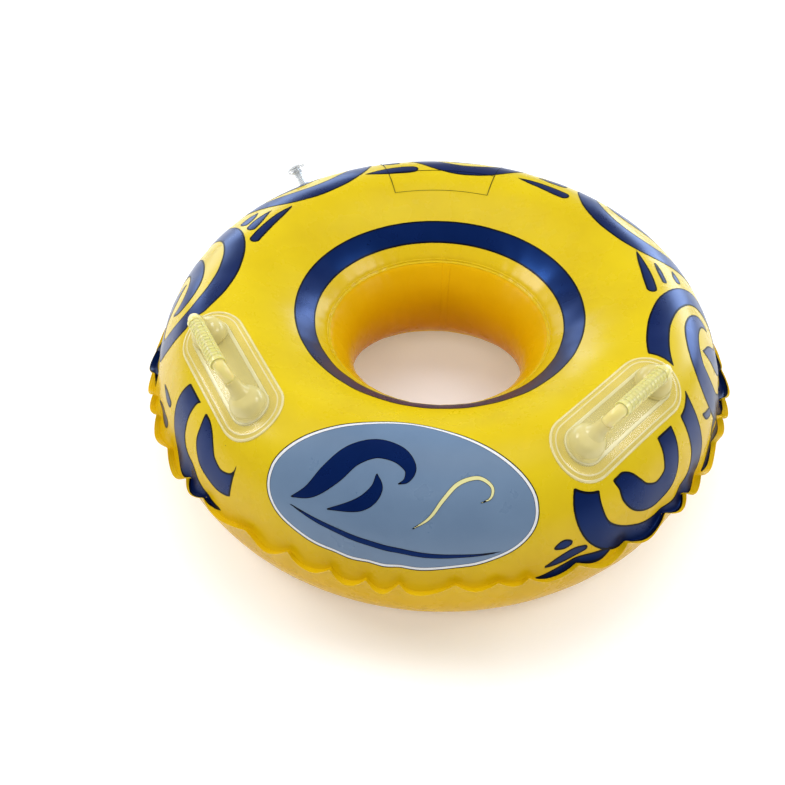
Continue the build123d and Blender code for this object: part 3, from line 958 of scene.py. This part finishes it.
def stadium_piece(name, profile, side, record_slot, node):
    """A layer welded on round the handle, with its raised lines in the rim's material."""
    turns = stadium_turns()
    count = len(turns)
    d = np.array([row[0] for row in profile])[:, None]
    x = turns[None, :, 0] + d * np.cos(turns[None, :, 1])
    y = d * np.sin(turns[None, :, 1])
    offset = np.broadcast_to(np.array([row[1] for row in profile])[:, None], x.shape)
    points = on_crown(x, y, offset).reshape(-1, 3)
    faces = grid_faces(len(profile), count) + end_cap(0, count)
    faces += [list(reversed(face)) for face in end_cap((len(profile) - 1) * count, count)]
    faces = [list(reversed(face)) for face in faces]
    if side == "left":
        points = points * np.array([-1, 1, 1])
        faces = [list(reversed(face)) for face in faces]
    slots = []
    for reach, height in profile[1:]:
        raised = height > RIM_HEIGHT and any(start < reach < stop for start, stop in RIM_BANDS)
        slots += [int(raised)] * count
    slots += [0] * (len(faces) - len(slots))
    piece = add_mesh(f"{side}_{name}", points, faces, [PATCH_PVC, RIM_PVC], slots=slots)
    stands_for(piece, record_slot, f"{side}_{node}")


# Profiles of the patch and of its plate: distance from the long axis, height over the film.
EDGE = PATCH_RADIUS
PATCH_PROFILE = [(0.0006, 0.0012), (0.012, 0.0012), (0.024, 0.0012), (0.034, 0.0012), (0.0380, 0.0012)]
PATCH_PROFILE += [(0.0385, 0.0014), (0.0400, 0.0014), (0.0405, 0.0012), (0.0440, 0.0012)]
PATCH_PROFILE += [(0.0444, 0.0018), (0.0450, 0.0021), (0.0459, 0.0022), (0.0467, 0.0019)]
PATCH_PROFILE += [(0.0472, 0.0013), (EDGE, 0.0007), (EDGE, -0.0003), (0.034, -0.0003)]
PATCH_PROFILE += [(0.012, -0.0003), (0.0006, -0.0003)]
PLATE_PROFILE = [(0.0006, 0.0032), (0.014, 0.0032), (0.0235, 0.0032), (0.0262, 0.0034)]
PLATE_PROFILE += [(0.0272, 0.0034), (0.0280, 0.0030), (0.0284, 0.0024), (0.0285, 0.0016)]
PLATE_PROFILE += [(0.0287, 0.0010), (0.0287, 0.0008), (0.014, 0.0008), (0.0006, 0.0008)]

for side in ("right", "left"):
    stadium_piece("patch_film", PATCH_PROFILE, side, "handle_pvc", "handle_patch")
    stadium_piece("plate_film", PLATE_PROFILE, side, "handle_pvc", "handle_base_plate")

BALL_HEIGHT = 0.0124
DOME_RISE = 0.002
DOME_RADIUS = 0.025
LEG_ANGLE = radians(68.0)
LEAN = radians(8.0)
BOOT_FOOT = 0.0195
BOOT_TOP = 0.036
BOOT_NECK = 0.0089
BOOT_WALL = 0.0007
BOOT_SINK = 0.0004
BOOT_LIP = 0.0005
# Heights over the ball of two points on the boot's axis, where it would start to follow the grip and
# follow it wholly; they are worked out but not used.
BOOT_BEND = (0.012, 0.030)


def boot(name, end, side):
    """The soft flared boot that closes a socket's mouth round the bar."""
    _, along, _, normal = HANDLE
    seats = [on_crown(np.array(k * SOCKET_REACH), np.array(0.0), np.array(PLATE_TOP)) for k in (-1, 1)]
    seat = seats[(end + 1) // 2]
    ball = seat + BALL_HEIGHT * normal
    axis = seats[1] - seats[0]
    lean = np.array(Matrix.Rotation(LEAN, 3, Vector(axis)))
    up = lean @ (-end * cos(LEG_ANGLE) * along + sin(LEG_ANGLE) * normal)
    across = np.cross(up, axis / np.linalg.norm(axis))
    across /= np.linalg.norm(across)
    beside = np.cross(up, across)
    turn = np.linspace(0, 2 * pi, 48, endpoint=False)
    radial = np.cos(turn)[:, None] * across + np.sin(turn)[:, None] * beside
    from_dome = ball - seat - DOME_RISE * normal
    side_on = from_dome + BOOT_FOOT * radial
    reach = side_on @ up
    foot = -reach + np.sqrt(np.maximum(reach**2 - (side_on**2).sum(-1) + DOME_RADIUS**2, 0))
    rows = []
    for wall, steps in ((0.0, np.linspace(0, 1, 22)), (-BOOT_WALL, np.linspace(1, 0, 22))):
        for u in steps:
            ease = 1 - (1 - u) ** 2.6
            radius = BOOT_FOOT + (BOOT_NECK + BOOT_WALL - BOOT_FOOT) * ease
            radius += wall * (1 - 0.4 * (u == 0))
            height = foot - BOOT_SINK + (BOOT_TOP - foot) * u**1.25 + wall * (1 - u)
            if wall == 0.0 and u > 0.93:
                radius += BOOT_LIP
            rows.append(ball + radius * radial + height[:, None] * up)
    points = np.array(rows)
    faces = grid_faces(len(rows), len(turn), wrap_rows=True)
    start, stop = (ball + height * up for height in BOOT_BEND)
    if side == "left":
        points = points * np.array([-1, 1, 1])
        faces = [list(reversed(face)) for face in faces]
        start, stop = start * np.array([-1, 1, 1]), stop * np.array([-1, 1, 1])
    piece = add_mesh(f"{side}_{name}", points, faces, [BOOT_PVC], body=None)
    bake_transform(piece)


for side in ("right", "left"):
    boot("front_boot", -1, side)
    boot("rear_boot", 1, side)

# Moulded parts keep their CAD shapes and get finer materials.
for node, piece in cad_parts.items():
    owner = CLEAR if node.startswith("valve") else BOOT_PVC if "socket" in node else HANDLE_PVC
    if any(word in node for word in ("socket", "grip", "valve")):
        piece.data.materials.clear()
        piece.data.materials.append(owner)


# Floor, light and camera --------------------------------------------------------------------------


FLOOR_REACH = 8.0
SOLE_DEPTH = 0.0005


def floor():
    """A pale floor with a weak glow of its own, as a light table has."""
    mesh = bpy.data.meshes.new("floor")
    corners = [(-1, -1), (1, -1), (1, 1), (-1, 1)]
    points = [(x * FLOOR_REACH, y * FLOOR_REACH, -SOLE_DEPTH) for x, y in corners]
    mesh.from_pydata(points, [], [(0, 1, 2, 3)])
    material = plastic(
        "pale_floor",
        [(0.3, (0.90, 0.90, 0.90)), (0.7, (0.93, 0.93, 0.93))],
        (0.5, 0.6),
        grain=0.00001,
        swell=0.00005,
        sockets=[("Emission Color", (1.0, 1.0, 1.0, 1.0)), ("Emission Strength", 0.2)],
    )
    mesh.materials.append(material)
    ground = bpy.data.objects.new("floor", mesh)
    bpy.context.collection.objects.link(ground)


def softbox(name, place, target, size, power, shine=True, colour=(1.0, 1.0, 1.0)):
    lamp = bpy.data.lights.new(name, "AREA")
    lamp.color = colour
    lamp.shape = "RECTANGLE"
    lamp.size, lamp.size_y = size
    lamp.energy = power
    light = bpy.data.objects.new(name, lamp)
    light.location = place
    light.rotation_euler = (Vector(target) - Vector(place)).to_track_quat("-Z", "Y").to_euler()
    light.visible_glossy = shine
    bpy.context.collection.objects.link(light)


COOL = (0.66, 0.82, 1.0)
WORLD_STRENGTH = 0.27

floor()
# Place, target, size and power. Those without shine light the ring and are not mirrored in it.
softbox("overhead_softbox", (0, 0.3, 3.2), (0, 0, 0.2), (3.0, 2.0), 44, shine=False)
softbox("front_softbox", (0, -2.6, 2.9), (0, 0, 0.1), (2.6, 1.2), 37, shine=False)
softbox("back_left_softbox", (-1.6, 2.2, 0.75), (0, 0, 0.25), (2.1, 0.9), 23, colour=COOL)
softbox("back_right_softbox", (1.6, 2.2, 0.75), (0, 0, 0.25), (2.1, 0.9), 38, colour=COOL)
softbox("left_softbox", (-2.3, 0.1, 1.95), (0, 0, 0.25), (1.3, 0.8), 34)
softbox("right_softbox", (2.3, 0.1, 1.95), (0, 0, 0.25), (1.3, 0.8), 24)
world = bpy.data.worlds.new("studio")
world.use_nodes = True
world.node_tree.nodes["Background"].inputs["Color"].default_value = (1, 1, 1, 1)
world.node_tree.nodes["Background"].inputs["Strength"].default_value = WORLD_STRENGTH
bpy.context.scene.world = world

# The camera that was fitted to the photo, in metres, radians and millimetres.
CAMERA_DISTANCE = 1.8766
CAMERA_ELEVATION = radians(42.585)
CAMERA_AZIMUTH = radians(5.4)
CAMERA_YAW, CAMERA_PITCH, CAMERA_ROLL = radians(-2.027), radians(-1.429), radians(0.709)
CAMERA_LENS, CAMERA_SENSOR = 55.87, 36


def add_camera():
    turn = Matrix.Rotation(CAMERA_AZIMUTH, 3, "Z")
    forward = Vector((0, cos(CAMERA_ELEVATION), -sin(CAMERA_ELEVATION)))
    right = Vector((1, 0, 0))
    place = -CAMERA_DISTANCE * forward
    aim = (forward + tan(CAMERA_YAW) * right + tan(CAMERA_PITCH) * right.cross(forward)).normalized()
    across = aim.cross(Vector((0, 0, 1))).normalized()
    up = across.cross(aim)
    # A roll of the picture by +a turns the camera's own axes by -a about its line of sight.
    x_axis = cos(CAMERA_ROLL) * across + sin(CAMERA_ROLL) * up
    y_axis = cos(CAMERA_ROLL) * up - sin(CAMERA_ROLL) * across
    axes = Matrix((turn @ x_axis, turn @ y_axis, turn @ -aim)).transposed()
    camera = bpy.data.objects.new("camera", bpy.data.cameras.new("camera"))
    camera.matrix_world = Matrix.Translation(turn @ place + Vector((0, 0, MID_HEIGHT))) @ axes.to_4x4()
    camera.data.lens = CAMERA_LENS
    camera.data.sensor_width = CAMERA_SENSOR
    bpy.context.collection.objects.link(camera)
    bpy.context.scene.camera = camera


add_camera()
bpy.context.scene.view_settings.view_transform = "Standard"
